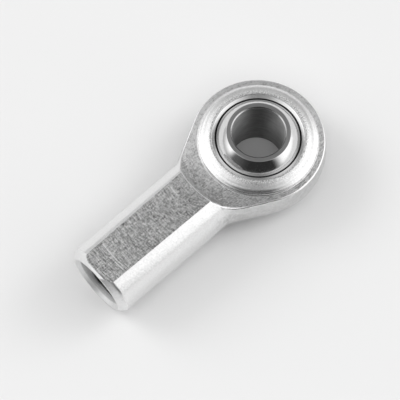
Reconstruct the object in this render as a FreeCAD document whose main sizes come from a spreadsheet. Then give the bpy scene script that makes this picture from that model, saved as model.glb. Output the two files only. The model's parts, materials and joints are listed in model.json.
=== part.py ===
import FreeCAD, Part
import math
import os

import Sketcher

# Female rod end bearing, metric size 14, dimensions in millimetres.
#
# Frame: the origin is the centre of the ball, +Z is the axis of the ball's bore, and the
# shank runs along -X. The shape is the same above and below the XY plane, and the same on
# both sides of the XZ plane.
#
# housing  forged and turned body: round head, tapering neck, shank with two wrench flats,
#          threaded hole in the shank's end, and a raised lip on each side of the head
# race     ring held in the head by the two lips, with a spherical bore
# liner    thin spherical sleeve between race and ball
# ball     truncated sphere with a through bore

DIMENSIONS = {
    # ball
    "ball_radius": 12.70,
    "ball_half_width": 9.50,
    "ball_bore_radius": 7.00,
    "ball_bore_chamfer": 0.35,
    "ball_face_round": 0.08,
    # liner
    "liner_bore_radius": 12.73,
    "liner_outer_radius": 12.98,
    "liner_half_width": 5.40,
    # race
    "race_bore_radius": 13.00,
    "race_outer_radius": 14.60,
    "race_shoulder_height": 4.00,
    "race_mouth_height": 6.10,
    "race_crest_radius": 12.28,
    "race_crest_height": 6.58,
    "race_crest_round": 0.10,
    "race_groove_height": 6.45,
    # head and the lips that hold the race
    "head_radius": 18.30,
    "head_flat_height": 4.50,
    "lip_inner_radius": 12.52,
    "lip_crest_radius": 12.78,
    "lip_crest_height": 6.75,
    "lip_crest_round": 0.25,
    "lip_outer_radius": 15.95,
    "lip_bend_radius": 14.90,
    "lip_bend_height": 5.88,
    "lip_bend_round": 2.50,
    "lip_shoulder_height": 5.14,
    "lip_shoulder_round": 0.70,
    "lip_foot_round": 0.15,
    # step from the head's flat up to the shank, a cone about the bore's axis
    "step_foot_radius": 20.40,
    "step_lean": 30.0,
    "step_foot_round": 3.00,
    # outer edges of the head's flats and of the steps
    "relief_edge_round": 0.50,
    # neck and shank
    "neck_angle": 63.0,
    "neck_round": 4.0,
    "shank_length": 57.0,
    "shank_neck_radius": 10.38,
    "shank_end_radius": 10.12,
    "shank_end_chamfer": 1.60,
    "shank_end_round": 1.20,
    "shank_crest_round": 0.20,
    "wrench_flat_height": 8.75,
    "flat_end_bevel": 0.55,
    "flat_end_angle": 40.0,
    "flat_end_round": 1.50,
    # threaded hole: its wall is at the thread's major diameter
    "thread_radius": 7.00,
    "thread_countersink": 1.10,
    "thread_depth": 26.5,
    "core_radius": 6.00,
    "core_depth": 29.5,
    "drill_tip_length": 3.6,
    # how far a cut's outline stands clear of the solid that it cuts
    "clearance": 1.0,
}

SHEET = "dims"
TOLERANCE = 0.02
EDGE_SAMPLES = 7


def make_sheet(doc):
    """Put the driving dimensions in a spreadsheet, one alias a row."""
    sheet = doc.addObject("Spreadsheet::Sheet", SHEET)
    for row, (alias, size) in enumerate(DIMENSIONS.items(), start=1):
        sheet.set("A%d" % row, alias)
        sheet.set("B%d" % row, str(size))
        sheet.setAlias("B%d" % row, alias)
    doc.recompute()
    return sheet


def make_body(doc, label):
    body = doc.addObject("PartDesign::Body", label)
    body.Label = label
    body.Placement = FreeCAD.Placement()
    return body


def origin_item(body, role):
    for item in body.Origin.OriginFeatures:
        if item.Role == role:
            return item
    raise RuntimeError("no origin item " + role)


def make_sketch(body, name, plane):
    sketch = body.newObject("Sketcher::SketchObject", name)
    sketch.AttachmentSupport = [(origin_item(body, plane), "")]
    sketch.MapMode = "FlatFace"
    return sketch


class Outline:
    """A closed outline in a sketch, each corner and radius of it bound to the spreadsheet.

    A corner is a tuple of expressions (x, y). Two more kinds have a third entry:
    (x, y, "ccw") or (x, y, "cw")  the edge that leaves the corner is an arc about the
                                   sketch's origin, turning that way
    (x, y, radius)                 the corner between two straight edges is rounded
    """

    def __init__(self, sheet, sketch, corners):
        self.sheet = sheet
        self.sketch = sketch
        self.corners = corners
        self.points = [FreeCAD.Vector(self.number(c[0]), self.number(c[1])) for c in corners]
        self.edges = [self.add_edge(i) for i in range(len(corners))]
        for i in range(len(corners)):
            if self.is_rounded(i):
                self.round_corner(i)
            else:
                self.join_at_corner(i)
        if sketch.solve() != 0:
            raise RuntimeError(sketch.Name + " doesn't solve")

    def number(self, expression):
        return float(self.sheet.evalExpression(expression))

    def leaves_as_arc(self, i):
        return self.corners[i][2:] in (("ccw",), ("cw",))

    def is_rounded(self, i):
        return len(self.corners[i]) == 3 and not self.leaves_as_arc(i)

    def add_edge(self, i):
        """Add the edge from corner i to the next, and give its number, start and end."""
        first, last = self.points[i], self.points[(i + 1) % len(self.points)]
        if not self.leaves_as_arc(i):
            first, last = self.trimmed(i, first, last)
            return self.sketch.addGeometry(Part.LineSegment(first, last), False), 1, 2
        circle = Part.Circle(FreeCAD.Vector(), FreeCAD.Vector(0, 0, 1), first.Length)
        counter_clockwise = self.corners[i][2] == "ccw"
        low, high = (first, last) if counter_clockwise else (last, first)
        angles = [math.atan2(low.y, low.x), math.atan2(high.y, high.x)]
        if angles[1] < angles[0]:
            angles[1] += 2 * math.pi
        edge = self.sketch.addGeometry(Part.ArcOfCircle(circle, *angles), False)
        self.sketch.addConstraint(Sketcher.Constraint("Coincident", edge, 3, -1, 1))
        return (edge, 1, 2) if counter_clockwise else (edge, 2, 1)

    def trim_length(self, i):
        """How far a rounded corner's arc starts from the corner."""
        if not self.is_rounded(i):
            return 0.0
        before, here = self.points[i - 1], self.points[i]
        after = self.points[(i + 1) % len(self.points)]
        half_turn = (here - before).getAngle(after - here) / 2
        return self.number(self.corners[i][2]) * math.tan(half_turn)

    def trimmed(self, i, first, last):
        along = (last - first).normalize()
        last_trim = self.trim_length((i + 1) % len(self.points))
        return first + along * self.trim_length(i), last - along * last_trim

    def bind(self, kind, edge, end, expression):
        """Tie one coordinate of a point to an expression; a plain 0 puts it on the axis."""
        vertical_axis, horizontal_axis = -2, -1
        if expression == "0":
            axis = vertical_axis if kind == "DistanceX" else horizontal_axis
            self.sketch.addConstraint(Sketcher.Constraint("PointOnObject", edge, end, axis))
            return
        point = self.sketch.getPoint(edge, end)
        size = point.x if kind == "DistanceX" else point.y
        index = self.sketch.addConstraint(Sketcher.Constraint(kind, edge, end, size))
        self.sketch.setExpression("Constraints[%d]" % index, expression)

    def join_at_corner(self, i):
        before, _, before_end = self.edges[i - 1]
        edge, start, _ = self.edges[i]
        self.sketch.addConstraint(
            Sketcher.Constraint("Coincident", before, before_end, edge, start))
        self.bind("DistanceX", edge, start, self.corners[i][0])
        ends_an_arc = self.leaves_as_arc(i - 1)
        if not ends_an_arc or self.corners[i][1] == "0":
            self.bind("DistanceY", edge, start, self.corners[i][1])

    def round_corner(self, i):
        """Join two straight edges by a tangent arc, and hold their crossing at the corner."""
        before, _, before_end = self.edges[i - 1]
        edge, start, _ = self.edges[i]
        first, last = self.sketch.getPoint(before, before_end), self.sketch.getPoint(edge, start)
        corner = self.points[i]
        radius = self.number(self.corners[i][2])
        middle_side = ((first + last) * 0.5 - corner).normalize()
        reach = math.hypot(radius, self.trim_length(i))
        centre = corner + middle_side * reach
        on_arc = centre - middle_side * radius
        arc = self.sketch.addGeometry(Part.Arc(first, on_arc, last), False)
        ends = (1, 2) if self.sketch.getPoint(arc, 1).isEqual(first, 1e-6) else (2, 1)
        mark = self.sketch.addGeometry(Part.Point(corner), True)
        for constraint in (
                Sketcher.Constraint("Tangent", before, before_end, arc, ends[0]),
                Sketcher.Constraint("Tangent", arc, ends[1], edge, start),
                Sketcher.Constraint("PointOnObject", mark, 1, before),
                Sketcher.Constraint("PointOnObject", mark, 1, edge)):
            self.sketch.addConstraint(constraint)
        self.bind("DistanceX", mark, 1, self.corners[i][0])
        self.bind("DistanceY", mark, 1, self.corners[i][1])
        index = self.sketch.addConstraint(Sketcher.Constraint("Radius", arc, radius))
        self.sketch.setExpression("Constraints[%d]" % index, self.corners[i][2])


def turn_profile(body, sketch, name, kind, axis):
    """Turn a sketch a full circle about one of its own axes, as a Revolution or a Groove."""
    feature = body.newObject("PartDesign::" + kind, name)
    feature.Profile = sketch
    feature.ReferenceAxis = (sketch, [axis])
    feature.Angle = 360.0
    body.Tip = feature
    body.Document.recompute()


def near(first, second):
    return abs(first - second) < TOLERANCE


def distance_range(edge):
    """Least and greatest distance of an edge's points from the bore's axis."""
    distances = [math.hypot(p.x, p.y) for p in edge.discretize(EDGE_SAMPLES)]
    return min(distances), max(distances)


def round_edges(body, name, is_wanted, radius):
    """Fillet the edges of the body that pass a test."""
    edges = enumerate(body.Shape.Edges, start=1)
    wanted = ["Edge%d" % i for i, edge in edges if not edge.Degenerated and is_wanted(edge)]
    if not wanted:
        raise RuntimeError(name + " found no edge")
    base = body.Tip
    feature = body.newObject("PartDesign::Fillet", name)
    feature.Base = (base, wanted)
    feature.setExpression("Radius", radius)
    body.Tip = feature
    body.Document.recompute()


def build_ball(doc, sheet):
    body = make_body(doc, "ball")
    profile = make_sketch(body, "ball_profile", "XZ_Plane")
    face_radius = "sqrt(dims.ball_radius ^ 2 - dims.ball_half_width ^ 2)"
    inner_height = "(dims.ball_half_width - dims.ball_bore_chamfer)"
    outer_bore = "dims.ball_bore_radius + dims.ball_bore_chamfer"
    Outline(sheet, profile, [
        ("dims.ball_bore_radius", "-" + inner_height),
        (outer_bore, "-dims.ball_half_width"),
        (face_radius, "-dims.ball_half_width", "ccw"),
        (face_radius, "dims.ball_half_width"),
        (outer_bore, "dims.ball_half_width"),
        ("dims.ball_bore_radius", inner_height),
    ])
    turn_profile(body, profile, "ball_turned", "Revolution", "V_Axis")
    rim = math.sqrt(sheet.get("ball_radius") ** 2 - sheet.get("ball_half_width") ** 2)

    def is_face_rim(edge):
        nearest, farthest = distance_range(edge)
        return near(nearest, rim) and near(farthest, rim)

    round_edges(body, "ball_face_round", is_face_rim, "dims.ball_face_round")
    return body


def build_liner(doc, sheet):
    body = make_body(doc, "liner")
    profile = make_sketch(body, "liner_profile", "XZ_Plane")
    bore_edge = "sqrt(dims.liner_bore_radius ^ 2 - dims.liner_half_width ^ 2)"
    outer_edge = "sqrt(dims.liner_outer_radius ^ 2 - dims.liner_half_width ^ 2)"
    Outline(sheet, profile, [
        (bore_edge, "-dims.liner_half_width"),
        (outer_edge, "-dims.liner_half_width", "ccw"),
        (outer_edge, "dims.liner_half_width"),
        (bore_edge, "dims.liner_half_width", "cw"),
    ])
    turn_profile(body, profile, "liner_turned", "Revolution", "V_Axis")
    return body


def build_race(doc, sheet):
    body = make_body(doc, "race")
    profile = make_sketch(body, "race_profile", "XZ_Plane")
    mouth_radius = "sqrt(dims.race_bore_radius ^ 2 - dims.race_mouth_height ^ 2)"
    Outline(sheet, profile, [
        (mouth_radius, "-dims.race_mouth_height"),
        ("dims.race_crest_radius", "-dims.race_crest_height", "dims.race_crest_round"),
        ("dims.lip_inner_radius", "-dims.race_groove_height"),
        ("dims.race_outer_radius", "-dims.race_shoulder_height"),
        ("dims.race_outer_radius", "dims.race_shoulder_height"),
        ("dims.lip_inner_radius", "dims.race_groove_height"),
        ("dims.race_crest_radius", "dims.race_crest_height", "dims.race_crest_round"),
        (mouth_radius, "dims.race_mouth_height", "cw"),
    ])
    turn_profile(body, profile, "race_turned", "Revolution", "V_Axis")
    return body


def add_blank(sheet, body):
    """Ball-shaped head, and the tapering neck and shank turned about the shank's axis.

    The neck's taper meets the head where it is tangent to it.
    """
    angle = "(dims.neck_angle * 1 deg)"
    tangent_height = "dims.head_radius * sin%s" % angle
    neck_run = "(%s - dims.shank_neck_radius) * tan%s" % (tangent_height, angle)
    neck_start = "-dims.head_radius * cos%s" % angle
    end = "-dims.shank_length"
    head_profile = make_sketch(body, "head_profile", "XZ_Plane")
    Outline(sheet, head_profile, [("0", "-dims.head_radius", "ccw"), ("0", "dims.head_radius")])
    turn_profile(body, head_profile, "head_turned", "Revolution", "V_Axis")
    shank_profile = make_sketch(body, "shank_profile", "XY_Plane")
    Outline(sheet, shank_profile, [
        (neck_start, "0"),
        (neck_start, tangent_height),
        (neck_start + " - %s" % neck_run, "dims.shank_neck_radius", "dims.neck_round"),
        (end + " + dims.shank_end_chamfer", "dims.shank_end_radius", "dims.shank_end_round"),
        (end, "dims.shank_end_radius - dims.shank_end_chamfer", "dims.shank_crest_round"),
        (end, "0"),
    ])
    turn_profile(body, shank_profile, "shank_turned", "Revolution", "H_Axis")


def cut_head_side(sheet, body, name, sign):
    """Clear the space over one side of the head: lip, flat and the step to the shank."""
    clear = "(dims.head_radius + dims.clearance)"
    lean = "(dims.step_lean * 1 deg)"
    step_top = "dims.step_foot_radius + (%s - dims.head_flat_height) * tan%s" % (clear, lean)
    flat = sign + "dims.head_flat_height"
    profile = make_sketch(body, name + "_relief_profile", "XZ_Plane")
    Outline(sheet, profile, [
        ("0", sign + clear),
        ("0", sign + "dims.lip_crest_height"),
        ("dims.lip_crest_radius", sign + "dims.lip_crest_height", "dims.lip_crest_round"),
        ("dims.lip_bend_radius", sign + "dims.lip_bend_height", "dims.lip_bend_round"),
        ("dims.lip_outer_radius", sign + "dims.lip_shoulder_height", "dims.lip_shoulder_round"),
        ("dims.lip_outer_radius", flat, "dims.lip_foot_round"),
        ("dims.step_foot_radius", flat, "dims.step_foot_round"),
        (step_top, sign + clear),
    ])
    turn_profile(body, profile, name + "_relief", "Groove", "V_Axis")


def cut_race_seat(sheet, body):
    """Recess for the race, closed in at both ends by the lips."""
    clear = "(dims.head_radius + dims.clearance)"
    profile = make_sketch(body, "seat_profile", "XZ_Plane")
    Outline(sheet, profile, [
        ("0", "-" + clear),
        ("dims.lip_inner_radius", "-" + clear),
        ("dims.lip_inner_radius", "-dims.race_groove_height"),
        ("dims.race_outer_radius", "-dims.race_shoulder_height"),
        ("dims.race_outer_radius", "dims.race_shoulder_height"),
        ("dims.lip_inner_radius", "dims.race_groove_height"),
        ("dims.lip_inner_radius", clear),
        ("0", clear),
    ])
    turn_profile(body, profile, "race_seat", "Groove", "V_Axis")


def cut_thread_hole(sheet, body):
    """Blind hole in the shank's end: countersink, threaded length, core and drill tip."""
    mouth = "-dims.shank_length"
    runout = "(dims.thread_radius - dims.core_radius)"
    profile = make_sketch(body, "hole_profile", "XY_Plane")
    Outline(sheet, profile, [
        (mouth, "0"),
        (mouth, "dims.thread_radius + dims.thread_countersink"),
        (mouth + " + dims.thread_countersink", "dims.thread_radius"),
        (mouth + " + dims.thread_depth", "dims.thread_radius"),
        (mouth + " + dims.thread_depth + " + runout, "dims.core_radius"),
        (mouth + " + dims.core_depth", "dims.core_radius"),
        (mouth + " + dims.core_depth + dims.drill_tip_length", "0"),
    ])
    turn_profile(body, profile, "thread_hole", "Groove", "H_Axis")


def cut_wrench_flat(sheet, body, name, sign):
    """Mill one wrench flat along the shank, above or below it, worn round at the shank's end."""
    clear = sign + "(dims.head_radius + dims.clearance)"
    flat = sign + "dims.wrench_flat_height"
    past_end = "-dims.shank_length - dims.clearance"
    drop = "(dims.flat_end_bevel + dims.clearance) * tan(dims.flat_end_angle * 1 deg)"
    profile = make_sketch(body, name + "_flat_profile", "XZ_Plane")
    Outline(sheet, profile, [
        (past_end, sign + "(dims.wrench_flat_height - %s)" % drop),
        ("-dims.shank_length + dims.flat_end_bevel", flat, "dims.flat_end_round"),
        ("0", flat),
        ("0", clear),
        (past_end, clear),
    ])
    pocket = body.newObject("PartDesign::Pocket", name + "_flat")
    pocket.Profile = profile
    pocket.Type = "ThroughAll"
    pocket.Midplane = True
    body.Tip = pocket
    body.Document.recompute()


def round_relief_edges(sheet, body):
    """Break the edges where the head's flats and steps meet the blank and the wrench flats."""
    flat = sheet.get("head_flat_height")
    lip = sheet.get("lip_outer_radius")

    def is_relief(face):
        if isinstance(face.Surface, Part.Plane):
            return near(abs(face.Surface.Position.z), flat)
        return isinstance(face.Surface, (Part.Cone, Part.Toroid)) and near(
            abs(face.Surface.Axis.z), 1)

    def is_relief_edge(edge):
        sides = [is_relief(face) for face in body.Shape.ancestorsOfType(edge, Part.Face)]
        return sides.count(True) == 1 and distance_range(edge)[0] > lip + TOLERANCE

    round_edges(body, "relief_edge_round", is_relief_edge, "dims.relief_edge_round")


def build_housing(doc, sheet):
    body = make_body(doc, "housing")
    add_blank(sheet, body)
    cuts = [
        ("upper relief", lambda: cut_head_side(sheet, body, "upper", "")),
        ("lower relief", lambda: cut_head_side(sheet, body, "lower", "-")),
        ("race seat", lambda: cut_race_seat(sheet, body)),
        ("thread hole", lambda: cut_thread_hole(sheet, body)),
        ("upper flat", lambda: cut_wrench_flat(sheet, body, "upper", "")),
        ("lower flat", lambda: cut_wrench_flat(sheet, body, "lower", "-")),
    ]
    for name, cut in cuts:
        before = body.Shape.Volume
        cut()
        if body.Shape.Volume > before - TOLERANCE:
            raise RuntimeError(name + " removed nothing")
    round_relief_edges(sheet, body)
    return body


def check_document(doc, bodies):
    for item in doc.Objects:
        if "Invalid" in item.State or "Error" in item.State:
            raise RuntimeError("%s failed: %s" % (item.Name, item.State))
    for body in bodies:
        shape = body.Shape
        if shape.isNull() or not shape.isValid() or len(shape.Solids) != 1:
            raise RuntimeError(body.Label + " isn't one valid solid")


def main():
    doc = FreeCAD.newDocument("rod_end_bearing")
    sheet = make_sheet(doc)
    makers = (build_housing, build_race, build_liner, build_ball)
    bodies = [make(doc, sheet) for make in makers]
    doc.recompute()
    check_document(doc, bodies)
    os.makedirs("parts", exist_ok=True)
    for body in bodies:
        body.Shape.exportStep("parts/%s.step" % body.Label)
        print("%-8s %9.1f mm3" % (body.Label, body.Shape.Volume))


main()
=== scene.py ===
import json
import math
from collections import namedtuple

import bpy
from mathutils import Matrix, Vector


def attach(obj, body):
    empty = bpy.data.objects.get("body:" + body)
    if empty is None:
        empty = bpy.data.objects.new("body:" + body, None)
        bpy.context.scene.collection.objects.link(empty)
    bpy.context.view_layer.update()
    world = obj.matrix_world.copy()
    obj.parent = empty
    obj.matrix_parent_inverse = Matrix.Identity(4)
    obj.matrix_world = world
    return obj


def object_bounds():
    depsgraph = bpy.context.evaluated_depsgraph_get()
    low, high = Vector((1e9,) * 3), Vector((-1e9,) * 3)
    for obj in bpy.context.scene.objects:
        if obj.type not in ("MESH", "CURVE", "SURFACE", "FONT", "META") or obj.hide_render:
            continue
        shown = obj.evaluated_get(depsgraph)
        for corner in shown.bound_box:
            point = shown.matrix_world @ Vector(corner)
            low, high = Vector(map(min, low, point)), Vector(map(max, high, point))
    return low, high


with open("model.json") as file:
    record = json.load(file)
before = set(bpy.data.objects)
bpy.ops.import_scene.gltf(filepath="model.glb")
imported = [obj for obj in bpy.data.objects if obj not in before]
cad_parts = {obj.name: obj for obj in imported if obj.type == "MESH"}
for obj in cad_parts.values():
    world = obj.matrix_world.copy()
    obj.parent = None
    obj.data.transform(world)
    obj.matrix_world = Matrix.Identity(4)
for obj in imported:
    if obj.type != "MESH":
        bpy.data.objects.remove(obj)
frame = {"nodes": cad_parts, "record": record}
CAD_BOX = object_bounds()

# A female rod end bearing on a pale table. Lengths are in metres unless a name says MM.
# +Z is the axis of the ball's bore and the shank runs along -X, as in the CAD model.

MM = 0.001

# camera, in degrees and metres; the lens and the sensor are in millimetres
CAMERA_AZIMUTH = -42.7
CAMERA_ELEVATION = 67.77
CAMERA_DISTANCE = 0.420
CAMERA_TARGET = Vector((-0.02007, 0.00078, -0.00533))
CAMERA_LENS = 142.1
CAMERA_SENSOR_WIDTH = 36.0
CAMERA_CLIP = (0.01, 10.0)

# the room, which the metal mirrors, in the units of the picture: 1 is white
ROOM_SIDES = 0.54
ROOM_OVERHEAD = 0.32
LEFT_SOFTBOX = 0.95
RIGHT_SOFTBOX = 0.90

LAMP_SIZE = 0.45
LAMP_DISTANCE = 0.9

# lamps: name, power, then the direction as studio_direction takes it
LAMPS = [
    ("left_lamp", 1.9, -1.0, -0.35, 38),
    ("right_lamp", 1.6, 1.0, -0.35, 38),
    ("overhead_lamp", 1.2, 0.0, 1.0, 84),
    ("near_lamp", 1.2, 0.0, 1.0, 52),
]

FLOOR_HALF_WIDTH = 2.0

# thread: metric M14 x 2, right-handed. Its ridge is sunk into the wall by THREAD_EMBED, and
# each side of the ridge's section is divided into THREAD_CUTS.
THREAD_PITCH = 2.0 * MM
THREAD_CREST_DEPTH = 1.05 * MM
THREAD_ROOT_FLAT = 0.25 * MM
THREAD_CREST_FLAT = 0.50 * MM
THREAD_EMBED = 0.04 * MM
THREAD_STEPS_PER_TURN = 72
THREAD_FADE_TURNS = 0.6
THREAD_LEAST_FADE = 0.02
THREAD_CUTS = 5
THREAD_SHARP_ANGLE = math.radians(35)

# the ball's bore, the hole in the shank and the shank's end, from the record
MOUNTS = {mount["name"]: mount for mount in frame["record"]["mounts"]}
BORE_RADIUS_MM = MOUNTS["ball_bore"]["dims"]["r_mm"]
HOLE_RADIUS_MM = MOUNTS["shank_thread"]["dims"]["r_mm"]
SHANK_END_X = MOUNTS["locknut_seat"]["pos_m"][0]

# where the finish changes, in millimetres: distances from the bore's axis, the height of the
# steps' tops above the middle plane, and the bottom of the hole along X
BORE_EDGE_MM = BORE_RADIUS_MM + 0.36
LIP_FOOT_MM = 16.12
STEP_FOOT_MM = 18.5
STEP_TOP_MM = 8.52
HOLE_BOTTOM_MM = -24.0

# where one finish fades into the next, in millimetres: along X, and for the lip's worn inner
# edge from the bore's axis
MILLED_CONTRAST_FADES_MM = (-40.0, -22.0)
HEAD_STARTS_MM = (-20.0, -16.0)
FORGED_STARTS_MM = (-26.0, -18.0)
LIP_WEAR_ENDS_MM = (13.1, 14.1)

# turned rings on the lip: one crest's distance from the bore's axis, the pitch and the height
LIP_RING_MM = 13.025
LIP_RING_PITCH_MM = 1.7
LIP_RING_HEIGHT = 1.8

# fine arcs left on the wrench flat by the cutter: radius about the bore, and the range of Y
ARC_SCRATCHES_MM = [(27.4, 1.2, 4.6), (50.5, -4.6, 4.6), (51.2, -4.6, -1.0)]

LINER_THREADS_PER_TURN = 260
LINER_THREAD_PITCH_MM = 0.3

TABLE_COLOUR = 0.71
PLATED_COLOUR = 0.86
MILLED_COLOUR = 0.62
MILLED_ANISOTROPY = 0.7

Place = namedtuple("Place", "point x y z radius angle normal")
Finish = namedtuple("Finish", "colour roughness height")


# ---------------------------------------------------------------- shader nodes

class Net:
    """A network of shader nodes with short calls: sockets or numbers go in, sockets come out."""

    def __init__(self, tree):
        self.tree = tree
        tree.nodes.clear()

    def feed(self, socket, value):
        if isinstance(value, bpy.types.NodeSocket):
            self.tree.links.new(value, socket)
        else:
            socket.default_value = value

    def feed_all(self, made, values):
        for socket, value in zip(made.inputs, values):
            self.feed(socket, value)
        return made.outputs

    def node(self, kind, settings=None, **inputs):
        made = self.tree.nodes.new(kind)
        for key, value in (settings or {}).items():
            setattr(made, key, value)
        for key, value in inputs.items():
            self.feed(made.inputs[key.replace("_", " ")], value)
        return made

    def math(self, operation, *values):
        return self.feed_all(self.node("ShaderNodeMath", {"operation": operation}), values)[0]

    def vector_math(self, operation, *values):
        return self.feed_all(self.node("ShaderNodeVectorMath", {"operation": operation}), values)

    def add(self, first, *others):
        for value in others:
            first = self.math("ADD", first, value)
        return first

    def minus(self, a, b):
        return self.math("SUBTRACT", a, b)

    def times(self, first, *others):
        for value in others:
            first = self.math("MULTIPLY", first, value)
        return first

    def absolute(self, value):
        return self.math("ABSOLUTE", value)

    def length(self, a, b):
        return self.math("SQRT", self.add(self.times(a, a), self.times(b, b)))

    def ramp(self, value, low, high, at_low=0.0, at_high=1.0):
        """Smooth step: at_low below low, at_high above high."""
        made = self.node("ShaderNodeMapRange", {"interpolation_type": "SMOOTHSTEP"})
        return self.feed_all(made, (value, low, high, at_low, at_high))[0]

    def fall(self, value, low, high):
        """Smooth step down: 1 below low, 0 above high."""
        return self.ramp(value, low, high, 1.0, 0.0)

    def window(self, value, up, down):
        """1 between two edges and 0 outside them; each edge is a (start, end) pair."""
        return self.times(self.ramp(value, *up), self.fall(value, *down))

    def band(self, value, centre, half_width, softness):
        """1 within half_width of the centre, fading to 0 over the softness."""
        distance = self.absolute(self.minus(value, centre))
        return self.fall(distance, half_width, half_width + softness)

    def mix(self, factor, a, b):
        made = self.node("ShaderNodeMix", {"data_type": "FLOAT"})
        for index, value in zip((0, 2, 3), (factor, a, b)):
            self.feed(made.inputs[index], value)
        return made.outputs[0]

    def vector(self, x, y, z):
        return self.feed_all(self.node("ShaderNodeCombineXYZ"), (x, y, z))[0]

    def grey(self, value):
        return self.feed_all(self.node("ShaderNodeCombineColor"), (value, value, value))[0]

    def noise(self, vector, scale, detail, roughness):
        """Noise with a mean of 0.5."""
        made = self.node("ShaderNodeTexNoise", Vector=vector, Scale=scale, Detail=detail,
                         Roughness=roughness)
        return made.outputs["Fac"]

    def vary(self, noise, spread):
        """A noise of mean 0.5 turned into a variation of mean 0."""
        return self.times(self.minus(noise, 0.5), spread)

    def bump(self, height, distance):
        made = self.node("ShaderNodeBump", Height=height, Distance=distance, Strength=1.0)
        return made.outputs[0]

    def place(self):
        """Object coordinates in millimetres, distance and angle about the bore, and normal."""
        source = self.node("ShaderNodeTexCoord")
        scaled = self.node("ShaderNodeVectorMath", {"operation": "SCALE"},
                           Vector=source.outputs["Object"], Scale=1.0 / MM)
        x, y, z = self.node("ShaderNodeSeparateXYZ", Vector=scaled.outputs[0]).outputs
        normal = self.node("ShaderNodeSeparateXYZ", Vector=source.outputs["Normal"])
        return Place(scaled.outputs[0], x, y, z, self.length(x, y),
                     self.math("ARCTAN2", y, x), normal.outputs)


def new_material(name):
    material = bpy.data.materials.new(name)
    material.use_nodes = True
    return material, Net(material.node_tree)


def surface(net, colour, **inputs):
    """A grey surface joined to the material's output."""
    principled = net.node("ShaderNodeBsdfPrincipled", Base_Color=net.grey(colour), **inputs)
    net.node("ShaderNodeOutputMaterial", Surface=principled.outputs[0])


def metal(net, at, colour, roughness, normal, anisotropy):
    """Bare metal whose tool marks run round the bore's axis."""
    along_marks = net.vector(net.times(at.y, -1.0), at.x, 0.0)
    across_marks = net.vector_math("CROSS_PRODUCT", along_marks, net.vector(*at.normal))["Vector"]
    to_world = {"vector_type": "VECTOR", "convert_from": "OBJECT", "convert_to": "WORLD"}
    tangent = net.node("ShaderNodeVectorTransform", to_world, Vector=across_marks).outputs[0]
    surface(net, colour, Metallic=1.0, Roughness=roughness, Normal=normal,
            Anisotropic=anisotropy, Tangent=tangent)


# ---------------------------------------------------------------- materials

def along_arcs(net, at, across, along):
    """Coordinates that stretch a texture along arcs about the bore's axis."""
    return net.vector(net.times(at.radius, across), net.times(at.angle, along), at.z)


def arc_scratch(net, at, radius, low_y, high_y):
    """A fine bright scratch, an arc about the bore's axis, broken in places."""
    line = net.band(at.radius, radius, 0.09, 0.12)
    length = net.window(at.y, (low_y, low_y + 0.6), (high_y - 0.6, high_y))
    breaks = net.ramp(net.noise(at.point, 1.6, 1.0, 0.5), 0.30, 0.50)
    return net.times(line, length, breaks)


def outside_lip(net, at):
    return net.ramp(at.radius, LIP_FOOT_MM - 0.04, LIP_FOOT_MM + 0.04)


def milled_area(net, at):
    """1 on the head's flats, the wrench flats and the steps between them."""
    normal_x, normal_y, normal_z = at.normal
    level = net.ramp(net.absolute(normal_z), 0.965, 0.99)
    outwards = net.math("DIVIDE", net.add(
        net.times(normal_x, at.x), net.times(normal_y, at.y)), at.radius)
    step = net.times(net.fall(outwards, -0.14, -0.08),
                     net.ramp(at.radius, STEP_FOOT_MM, STEP_FOOT_MM + 0.1),
                     net.fall(net.absolute(at.z), STEP_TOP_MM - 0.1, STEP_TOP_MM))
    return net.math("MAXIMUM", net.times(level, outside_lip(net, at)), step)


def milled_finish(net, at, blotches):
    """Matte, with cutter marks in arcs and along the shank; the head's flats are painted lighter,
    more so towards the far side: painted light.
    """
    strokes = net.noise(along_arcs(net, at, 3.8, 24.0), 1.0, 1.0, 0.6)
    lay = net.noise(net.vector(net.times(at.x, 0.6), net.times(at.y, 3.8), 0.0), 1.0, 1.0, 0.6)
    grain = net.noise(at.point, 4.2, 1.0, 0.6)
    texture = net.add(net.vary(strokes, 1.45), net.vary(lay, 1.2), net.vary(grain, 1.4))
    contrast = net.ramp(at.x, *MILLED_CONTRAST_FADES_MM, 1.0, 0.75)
    # painted light: the head's flats are painted lighter than the shank's, and lighter still
    # towards the far side (+X, +Y)
    on_head = net.ramp(at.x, *HEAD_STARTS_MM)
    across_head = net.add(net.times(at.x, 0.5), net.times(at.y, 0.87))
    painted_head_light = net.times(on_head, net.ramp(across_head, -14.0, 10.0, 0.11, 0.34))
    scratches = net.add(*[arc_scratch(net, at, *arc) for arc in ARC_SCRATCHES_MM])
    return Finish(
        colour=net.add(MILLED_COLOUR, painted_head_light, net.times(texture, contrast),
                       net.vary(blotches, 0.35), net.times(scratches, 0.8)),
        roughness=net.add(0.36, net.vary(grain, 0.20)),
        height=net.add(net.times(strokes, 0.7), net.times(lay, 0.5), net.times(grain, 0.4)))


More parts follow.
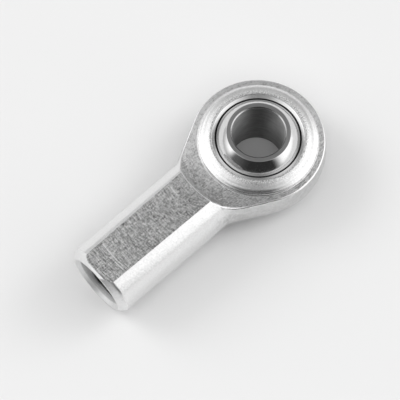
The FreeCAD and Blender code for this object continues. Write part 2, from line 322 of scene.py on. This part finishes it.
def plated_finish(net, at, blotches, on_lip):
    """Zinc plating: bright where turned, duller on the forged rim, with painted shade inside the
    hole.
    """
    fine = net.noise(at.point, 2.2, 3.0, 0.6)
    turned = net.noise(along_arcs(net, at, 3.0, 2.0), 1.0, 3.0, 0.6)
    dents = net.noise(at.point, 0.8, 3.0, 0.65)
    pits = net.ramp(net.noise(at.point, 3.0, 2.0, 0.7), 0.42, 0.62)

    # the lip: turned rings, and a pitted, worn inner edge
    worn = net.times(on_lip, net.fall(at.radius, *LIP_WEAR_ENDS_MM))
    ring = net.math("COSINE", net.times(
        net.minus(at.radius, LIP_RING_MM), 2 * math.pi / LIP_RING_PITCH_MM))

    # the head's rim and the root of the neck, as forged
    forged = net.times(net.ramp(net.add(at.x, net.vary(dents, 16.0)), *FORGED_STARTS_MM),
                       outside_lip(net, at),
                       net.fall(net.absolute(at.normal[2]), 0.25, 0.55))

    # the shank's end and the hole in it, whose wall is painted darker with depth: painted shade
    # in the recess
    from_end = net.minus(at.x, SHANK_END_X / MM)
    in_hole = net.times(
        net.fall(net.length(at.y, at.z), HOLE_RADIUS_MM + 0.1, HOLE_RADIUS_MM + 0.3),
        net.fall(at.x, HOLE_BOTTOM_MM - 2.0, HOLE_BOTTOM_MM))
    # painted shade: the hole's wall is painted darker the deeper in; the forged rim's duller tone
    # is its own finish
    forged_dulling_and_hole_shade = net.add(net.times(in_hole, net.ramp(from_end, 0.6, 2.6, 0.20, 0.66)),
                        net.times(forged, net.add(0.20, net.vary(dents, 0.45))))

    bright = net.add(PLATED_COLOUR, net.vary(fine, 0.30),
                     net.vary(net.mix(on_lip, 0.5, turned), 0.25),
                     net.times(worn, net.vary(pits, 0.25)))
    return Finish(
        colour=net.minus(bright, forged_dulling_and_hole_shade),
        roughness=net.add(0.19, net.vary(blotches, 0.16), net.ramp(from_end, 1.4, 2.2, 0.26, 0.0),
                          net.times(in_hole, 0.15), net.times(on_lip, 0.06),
                          net.times(worn, pits, 0.12)),
        height=net.add(net.times(blotches, 3.0), net.times(fine, 0.5), net.times(turned, 0.3),
                       net.times(worn, pits, 1.5), net.times(on_lip, ring, LIP_RING_HEIGHT)))


def plated_steel():
    """The housing and its thread: plated steel with milled areas."""
    material, net = new_material("zinc_plated_steel")
    at = net.place()
    blotches = net.noise(at.point, 0.30, 3.0, 0.55)
    on_lip = net.times(net.fall(at.radius, LIP_FOOT_MM - 0.3, LIP_FOOT_MM),
                       net.ramp(net.absolute(at.normal[2]), 0.3, 0.5))
    milled = milled_area(net, at)
    finishes = zip(plated_finish(net, at, blotches, on_lip), milled_finish(net, at, blotches))
    colour, roughness, height = [net.mix(milled, plated, cut) for plated, cut in finishes]
    anisotropy = net.math("MAXIMUM", net.times(milled, MILLED_ANISOTROPY), net.times(on_lip, 0.4))
    metal(net, at, colour, roughness, net.bump(height, 0.012 * MM), anisotropy)
    return material


def race_steel():
    material, net = new_material("turned_race_steel")
    at = net.place()
    turned = net.noise(along_arcs(net, at, 9.0, 1.5), 1.0, 3.0, 0.6)
    fine = net.noise(at.point, 2.5, 2.0, 0.6)
    metal(net, at, net.add(0.82, net.vary(turned, 0.25)), net.add(0.24, net.vary(fine, 0.15)),
          net.bump(turned, 0.006 * MM), 0.4)
    return material


def polished_steel():
    """Ball: polished sphere, ground end faces, bright bore edges, satin bore."""
    material, net = new_material("polished_ball_steel")
    at = net.place()
    ground = net.noise(along_arcs(net, at, 8.0, 2.0), 1.0, 3.0, 0.6)
    smear = net.noise(at.point, 0.5, 3.0, 0.6)
    fine = net.noise(at.point, 4.0, 2.0, 0.6)

    end_face = net.ramp(net.absolute(at.normal[2]), 0.98, 0.995)
    bore_edge = net.times(net.fall(at.radius, BORE_EDGE_MM, BORE_EDGE_MM + 0.04),
                          net.minus(1.0, end_face))
    bore = net.fall(at.radius, BORE_RADIUS_MM + 0.02, BORE_RADIUS_MM + 0.12)
    colour = net.add(0.74, net.vary(smear, 0.08))
    roughness = net.add(0.11, net.vary(smear, 0.10))
    for area, area_colour, area_roughness in [
            (end_face, net.add(0.38, net.vary(ground, 0.22)), 0.34),
            (bore_edge, 0.6, 0.24),
            (bore, net.add(0.33, net.vary(ground, 0.3)), 0.60)]:
        colour = net.mix(area, colour, area_colour)
        roughness = net.mix(area, roughness, area_roughness)
    height = net.add(net.times(ground, end_face), net.times(fine, 0.1))
    anisotropy = net.math("MAXIMUM", net.times(end_face, 0.5), net.times(bore, 0.96))
    metal(net, at, colour, roughness, net.bump(height, 0.004 * MM), anisotropy)
    return material


def liner_fabric():
    """Dark woven self-lubricating liner: fine crossed threads."""
    material, net = new_material("liner_fabric")
    at = net.place()
    weft = net.math("SINE", net.times(at.angle, LINER_THREADS_PER_TURN))
    warp = net.math("SINE", net.times(at.z, 2 * math.pi / LINER_THREAD_PITCH_MM))
    wear = net.noise(at.point, 1.2, 3.0, 0.6)
    surface(net, net.add(0.020, net.times(wear, 0.02)),
            Roughness=net.add(0.55, net.times(wear, 0.2)),
            Normal=net.bump(net.times(weft, warp), 0.02 * MM))
    return material


def table_surface():
    material, net = new_material("pale_table")
    mottle = net.noise(net.node("ShaderNodeTexCoord").outputs["Object"], 6.0, 2.0, 0.5)
    surface(net, net.add(TABLE_COLOUR, net.vary(mottle, 0.02)), Roughness=0.6,
            Specular_IOR_Level=0.1)
    return material


def dress(piece, material):
    piece.data.materials.clear()
    piece.data.materials.append(material)


def new_piece(name, points, faces, material):
    mesh = bpy.data.meshes.new(name)
    mesh.from_pydata(points, [], faces)
    mesh.validate()
    piece = bpy.data.objects.new(name, mesh)
    bpy.context.scene.collection.objects.link(piece)
    dress(piece, material)
    return piece


# ---------------------------------------------------------------- thread

def ridge_outline():
    """The ridge's section, a trapezium: places along the axis with a rise from 0 to 1."""
    base_half = (THREAD_PITCH - THREAD_ROOT_FLAT) / 2
    crest_half = THREAD_CREST_FLAT / 2
    corners = [(-base_half, 0.0), (-crest_half, 1.0), (crest_half, 1.0), (base_half, 0.0)]
    outline = []
    for (x0, rise0), (x1, rise1) in zip(corners, corners[1:]):
        for cut in range(THREAD_CUTS):
            part = cut / THREAD_CUTS
            outline.append((x0 + (x1 - x0) * part, rise0 + (rise1 - rise0) * part))
    outline.append(corners[-1])
    return outline


def thread_ridge(mouth_x, low_x, high_x, wall_radius):
    """Points and faces of the internal thread's ridge, swept along a right-hand helix.

    The countersink at the mouth, a 45 degree cone, trims the first turns, and the ridge
    fades into the wall at its inner end.
    """
    outline = ridge_outline()
    mouth_radius = wall_radius + (low_x - mouth_x)
    start_x = low_x - THREAD_PITCH / 2
    turns = (high_x - start_x) / THREAD_PITCH - 0.5
    steps = int(turns * THREAD_STEPS_PER_TURN)
    foot = wall_radius + THREAD_EMBED
    points = []
    for step in range(steps + 1):
        turn = step / THREAD_STEPS_PER_TURN
        fade = max(THREAD_LEAST_FADE, min(1.0, (turns - turn) / THREAD_FADE_TURNS))
        centre_x = start_x + turn * THREAD_PITCH
        angle = turn * 2 * math.pi
        for along, rise in outline:
            x = max(centre_x + along * fade, mouth_x + THREAD_EMBED)
            radius = foot - rise * fade * (THREAD_CREST_DEPTH + THREAD_EMBED)
            cone = mouth_radius - (x - mouth_x)
            if radius < cone:
                radius = cone + (THREAD_EMBED if cone > wall_radius else 0.0)
            points.append((x, radius * math.cos(angle), radius * math.sin(angle)))

    count = len(outline)
    faces = []
    for here in range(0, count * steps, count):
        ahead = here + count
        for side in range(count):
            after = (side + 1) % count
            faces.append((here + side, here + after, ahead + after, ahead + side))
    faces.append(tuple(reversed(range(count))))
    faces.append(tuple(range(count * steps, count * (steps + 1))))
    return points, faces


def build_thread(material):
    hole = MOUNTS["shank_thread"]
    half_length = hole["dims"]["length_mm"] * MM / 2
    centre_x = hole["pos_m"][0]
    points, faces = thread_ridge(SHANK_END_X, centre_x - half_length, centre_x + half_length,
                                 HOLE_RADIUS_MM * MM)
    ridge = new_piece("thread", points, faces, material)
    for polygon in ridge.data.polygons:
        polygon.use_smooth = True
    ridge.data.set_sharp_from_angle(angle=THREAD_SHARP_ANGLE)
    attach(ridge, "housing")


# ---------------------------------------------------------------- stage

def build_floor():
    half, z = FLOOR_HALF_WIDTH, CAD_BOX[0].z
    corners = [(-half, -half, z), (half, -half, z), (half, half, z), (-half, half, z)]
    new_piece("floor", corners, [(0, 1, 2, 3)], table_surface())


def studio_direction(right, towards_camera, elevation):
    """A direction given as seen from the camera: to its right, towards it, and degrees up."""
    azimuth = math.radians(CAMERA_AZIMUTH)
    side = Vector((math.cos(azimuth), math.sin(azimuth), 0))
    near = Vector((math.sin(azimuth), -math.cos(azimuth), 0))
    level = (side * right + near * towards_camera).normalized()
    up = math.radians(elevation)
    return level * math.cos(up) + Vector((0, 0, math.sin(up)))


def aim(thing, direction, distance, target=Vector((0, 0, 0))):
    """Stand a camera or a lamp away from its target and turn it to face it."""
    thing.location = target + direction * distance
    thing.rotation_mode = "QUATERNION"
    thing.rotation_quaternion = direction.to_track_quat("Z", "Y")
    bpy.context.scene.collection.objects.link(thing)


def build_world():
    """A pale room with a large softbox on each side, dark behind the camera.

    Bearings are in degrees about the vertical, 0 towards the camera and positive to its
    right; heights are in degrees above the horizon.
    """
    world = bpy.data.worlds.new("studio")
    bpy.context.scene.world = world
    world.use_nodes = True
    net = Net(world.node_tree)
    direction = net.node("ShaderNodeTexCoord").outputs["Generated"]
    to_right, to_camera, up = [
        net.vector_math("DOT_PRODUCT", direction, axis)["Value"]
        for axis in (studio_direction(1, 0, 0), studio_direction(0, 1, 0), Vector((0, 0, 1)))]
    bearing = net.math("DEGREES", net.math("ARCTAN2", to_right, to_camera))
    height = net.math("DEGREES", net.math("ARCSINE", up))

    room = net.ramp(height, 15.0, 60.0, ROOM_SIDES, ROOM_OVERHEAD)
    right_box = net.times(net.window(bearing, (10.0, 78.0), (108.0, 152.0)),
                          net.ramp(height, -10.0, 8.0, 0.0, RIGHT_SOFTBOX))
    left_box = net.times(net.window(bearing, (-168.0, -118.0), (-86.0, 0.0)),
                         net.ramp(height, 0.0, 18.0, 0.0, LEFT_SOFTBOX))
    lit = net.add(room, net.times(net.add(left_box, right_box), net.fall(height, 62.0, 80.0)))

    # the dark part gets narrower with height
    narrowed = net.times(bearing, net.ramp(height, 18.0, 50.0, 1.0, 2.1))
    behind_camera = net.times(net.window(narrowed, (-78.0, -58.0), (34.0, 60.0)),
                              net.fall(height, 31.0, 63.0))
    strength = net.mix(behind_camera, lit, net.ramp(bearing, -60.0, -15.0, 0.12, 0.03))

    background = net.node("ShaderNodeBackground", Color=(1, 1, 1, 1), Strength=strength)
    net.node("ShaderNodeOutputWorld", Surface=background.outputs[0])


def build_lamps():
    """Soft lamps for the table's light and shadows; the world shows their reflections."""
    for name, power, right, towards_camera, elevation in LAMPS:
        light = bpy.data.lights.new(name, "AREA")
        light.shape = "DISK"
        light.size = LAMP_SIZE
        light.energy = power
        lamp = bpy.data.objects.new(name, light)
        lamp.visible_glossy = False
        aim(lamp, studio_direction(right, towards_camera, elevation), LAMP_DISTANCE)


def build_camera():
    camera_data = bpy.data.cameras.new("camera")
    camera_data.lens = CAMERA_LENS
    camera_data.sensor_width = CAMERA_SENSOR_WIDTH
    camera_data.clip_start, camera_data.clip_end = CAMERA_CLIP
    camera = bpy.data.objects.new("camera", camera_data)
    aim(camera, studio_direction(0, 1, CAMERA_ELEVATION), CAMERA_DISTANCE, CAMERA_TARGET)
    bpy.context.scene.camera = camera


def main():
    plated = plated_steel()
    dress(frame["nodes"]["housing"], plated)
    dress(frame["nodes"]["race"], race_steel())
    dress(frame["nodes"]["liner"], liner_fabric())
    dress(frame["nodes"]["ball"], polished_steel())
    build_thread(plated)
    build_floor()
    build_world()
    build_lamps()
    build_camera()
    bpy.context.scene.view_settings.view_transform = "Standard"


main()
